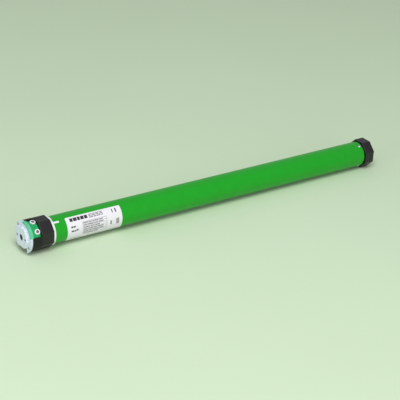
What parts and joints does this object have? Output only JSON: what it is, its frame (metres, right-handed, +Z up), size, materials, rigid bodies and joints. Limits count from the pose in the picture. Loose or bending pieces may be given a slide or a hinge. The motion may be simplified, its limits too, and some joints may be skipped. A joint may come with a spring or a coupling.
{
  "type": "tubular roller blind motor",
  "caption": "Slim tubular motor for a roller blind: lobed die-cast head with limit adjusters, octagonal running ring on the tube and octagonal drive wheel at the far end.",
  "frame": {"origin": "on the motor's axis at the outer face of the head plate, inside the bore of the star boss", "axes": "+X along the motor's axis from the head to the drive wheel, +Z up with the octagons lying on a flat, -Y the front side with the adjusters"},
  "size_m": [0.722, 0.0534, 0.0531],
  "materials": {
    "tube_green": "gloss powder coat on steel tube",
    "label_white": "satin film",
    "head_zinc": "satin die-cast zinc",
    "black_plastic": "fine moulded texture",
    "emerald_plastic": "smooth moulded",
    "white_plastic": "smooth moulded",
    "grey_plastic": "moulded gear plastic",
    "steel": "machined",
    "sintered_steel": "sintered",
    "bronze": "sintered",
    "copper": "varnished winding",
    "core_steel": "stacked laminations",
    "board": "laminate",
    "capacitor_can": "moulded can",
    "lining": "friction lining"
  },
  "bodies": {
    "motor_body": {"motor_tube": "tube_green", "tube_label": "label_white", "tube_rivets": "steel", "head_plate": "head_zinc", "plate_screws": "steel", "head_collar": "black_plastic", "adjuster_block": "emerald_plastic", "cable_socket": "black_plastic", "socket_pins": "bronze", "retaining_ring": "white_plastic", "head_core": "black_plastic", "core_screws": "steel", "terminal_board": "board", "run_capacitor": "capacitor_can", "capacitor_clips": "black_plastic", "brake_plate": "sintered_steel", "brake_lining": "lining", "brake_coil": "copper", "rear_end_bell": "head_zinc", "rear_bush": "bronze", "front_end_bell": "head_zinc", "front_bush": "bronze", "stator_core": "core_steel", "stator_winding": "copper", "gear_housing": "sintered_steel", "output_block": "head_zinc", "output_bushes": "bronze"},
    "running_ring": {"running_ring": "black_plastic"},
    "idler": {"idler_gear": "white_plastic"},
    "spindle": {"limit_spindle": "white_plastic"},
    "nut": {"limit_nut": "grey_plastic"},
    "adjuster_up": {"adjuster_up": "white_plastic"},
    "adjuster_down": {"adjuster_down": "white_plastic"},
    "bar_up": {"switch_bar_up": "grey_plastic", "limit_switch_up": "black_plastic"},
    "bar_down": {"switch_bar_down": "grey_plastic", "limit_switch_down": "black_plastic"},
    "plunger_up": {"switch_plunger_up": "white_plastic"},
    "plunger_down": {"switch_plunger_down": "white_plastic"},
    "rotor": {"rotor_shaft": "steel", "rotor_core": "core_steel", "sun_gear": "steel", "brake_spring": "steel"},
    "brake_disc": {"brake_disc": "steel"},
    "carrier_1": {"carrier_1": "grey_plastic"},
    "carrier_2": {"carrier_2": "sintered_steel"},
    "output": {"output_carrier": "sintered_steel", "output_shaft": "steel", "drive_wheel": "black_plastic", "wheel_screw": "steel"},
    "planet_1a": {"planet_1a": "grey_plastic"},
    "planet_1b": {"planet_1b": "grey_plastic"},
    "planet_1c": {"planet_1c": "grey_plastic"},
    "planet_2a": {"planet_2a": "sintered_steel"},
    "planet_2b": {"planet_2b": "sintered_steel"},
    "planet_2c": {"planet_2c": "sintered_steel"},
    "planet_3a": {"planet_3a": "sintered_steel"},
    "planet_3b": {"planet_3b": "sintered_steel"},
    "planet_3c": {"planet_3c": "sintered_steel"}
  },
  "joints": [
    {"name": "rotor_spin", "type": "hinge", "parent": "motor_body", "child": "rotor", "pos_m": [0.43, 0, 0], "axis": [1, 0, 0], "continuous": true},
    {"name": "carrier_1_spin", "type": "hinge", "parent": "motor_body", "child": "carrier_1", "pos_m": [0.5646, 0, 0], "axis": [1, 0, 0], "continuous": true},
    {"name": "carrier_2_spin", "type": "hinge", "parent": "motor_body", "child": "carrier_2", "pos_m": [0.5902, 0, 0], "axis": [1, 0, 0], "continuous": true},
    {"name": "output_spin", "type": "hinge", "parent": "motor_body", "child": "output", "pos_m": [0.70465, 0, 0], "axis": [1, 0, 0], "continuous": true},
    {"name": "planet_1a_spin", "type": "hinge", "parent": "carrier_1", "child": "planet_1a", "pos_m": [0.5548, 0, 0.01155], "axis": [1, 0, 0], "continuous": true},
    {"name": "planet_1b_spin", "type": "hinge", "parent": "carrier_1", "child": "planet_1b", "pos_m": [0.5548, -0.01, -0.00577], "axis": [1, 0, 0], "continuous": true},
    {"name": "planet_1c_spin", "type": "hinge", "parent": "carrier_1", "child": "planet_1c", "pos_m": [0.5548, 0.01, -0.00578], "axis": [1, 0, 0], "continuous": true},
    {"name": "planet_2a_spin", "type": "hinge", "parent": "carrier_2", "child": "planet_2a", "pos_m": [0.5775, 0, 0.01155], "axis": [1, 0, 0], "continuous": true},
    {"name": "planet_2b_spin", "type": "hinge", "parent": "carrier_2", "child": "planet_2b", "pos_m": [0.5775, -0.01, -0.00577], "axis": [1, 0, 0], "continuous": true},
    {"name": "planet_2c_spin", "type": "hinge", "parent": "carrier_2", "child": "planet_2c", "pos_m": [0.5775, 0.01, -0.00578], "axis": [1, 0, 0], "continuous": true},
    {"name": "planet_3a_spin", "type": "hinge", "parent": "output", "child": "planet_3a", "pos_m": [0.6072, 0, 0.01155], "axis": [1, 0, 0], "continuous": true},
    {"name": "planet_3b_spin", "type": "hinge", "parent": "output", "child": "planet_3b", "pos_m": [0.6072, -0.01, -0.00577], "axis": [1, 0, 0], "continuous": true},
    {"name": "planet_3c_spin", "type": "hinge", "parent": "output", "child": "planet_3c", "pos_m": [0.6072, 0.01, -0.00578], "axis": [1, 0, 0], "continuous": true},
    {"name": "brake_release", "type": "slide", "parent": "rotor", "child": "brake_disc", "axis": [1, 0, 0], "range_m": [0, 0.0005], "stiffness_N_per_m": 4000, "springref_m": -0.001},
    {"name": "ring_spin", "type": "hinge", "parent": "motor_body", "child": "running_ring", "pos_m": [0.0324, 0, 0], "axis": [1, 0, 0], "range_deg": [-3240, 3240]},
    {"name": "idler_spin", "type": "hinge", "parent": "motor_body", "child": "idler", "pos_m": [0.0247, 0, -0.0168], "axis": [1, 0, 0], "range_deg": [-16205, 16205]},
    {"name": "spindle_spin", "type": "hinge", "parent": "motor_body", "child": "spindle", "pos_m": [0.0247, 0, 0], "axis": [1, 0, 0], "range_deg": [-5405, 5405]},
    {"name": "nut_travel", "type": "slide", "parent": "motor_body", "child": "nut", "axis": [1, 0, 0], "range_m": [-0.01505, 0.01505]},
    {"name": "bar_up_slide", "type": "slide", "parent": "motor_body", "child": "bar_up", "axis": [1, 0, 0], "range_m": [-0.0047, 0.0047]},
    {"name": "adjuster_up_turn", "type": "hinge", "parent": "motor_body", "child": "adjuster_up", "pos_m": [0.0147, 0, 0], "axis": [0, -0.1908, 0.9816], "range_deg": [-90, 90]},
    {"name": "plunger_up_press", "type": "slide", "parent": "bar_up", "child": "plunger_up", "axis": [0, -0.1908, 0.9816], "range_m": [0, 0.0006], "stiffness_N_per_m": 400, "springref_m": -0.0005},
    {"name": "bar_down_slide", "type": "slide", "parent": "motor_body", "child": "bar_down", "axis": [1, 0, 0], "range_m": [-0.0047, 0.0047]},
    {"name": "adjuster_down_turn", "type": "hinge", "parent": "motor_body", "child": "adjuster_down", "pos_m": [0.0147, 0, 0], "axis": [0, -0.809, 0.5878], "range_deg": [-90, 90]},
    {"name": "plunger_down_press", "type": "slide", "parent": "bar_down", "child": "plunger_down", "axis": [0, -0.809, 0.5878], "range_m": [0, 0.0006], "stiffness_N_per_m": 400, "springref_m": -0.0005}
  ],
  "couplings": [
    {"joint": "carrier_1_spin", "follows": "rotor_spin", "ratio": 0.18182},
    {"joint": "carrier_2_spin", "follows": "rotor_spin", "ratio": 0.033058},
    {"joint": "output_spin", "follows": "rotor_spin", "ratio": 0.0060105},
    {"joint": "planet_1a_spin", "follows": "rotor_spin", "ratio": -0.46753},
    {"joint": "planet_1b_spin", "follows": "rotor_spin", "ratio": -0.46753},
    {"joint": "planet_1c_spin", "follows": "rotor_spin", "ratio": -0.46753},
    {"joint": "planet_2a_spin", "follows": "rotor_spin", "ratio": -0.085006},
    {"joint": "planet_2b_spin", "follows": "rotor_spin", "ratio": -0.085006},
    {"joint": "planet_2c_spin", "follows": "rotor_spin", "ratio": -0.085006},
    {"joint": "planet_3a_spin", "follows": "rotor_spin", "ratio": -0.015456},
    {"joint": "planet_3b_spin", "follows": "rotor_spin", "ratio": -0.015456},
    {"joint": "planet_3c_spin", "follows": "rotor_spin", "ratio": -0.015456},
    {"joint": "idler_spin", "follows": "ring_spin", "ratio": 5},
    {"joint": "spindle_spin", "follows": "ring_spin", "ratio": -1.6667},
    {"joint": "nut_travel", "follows": "ring_spin", "m_per_rad": 0.00026526},
    {"joint": "adjuster_up_turn", "follows": "bar_up_slide", "rad_per_m": -333.33},
    {"joint": "adjuster_down_turn", "follows": "bar_down_slide", "rad_per_m": 333.33}
  ]
}
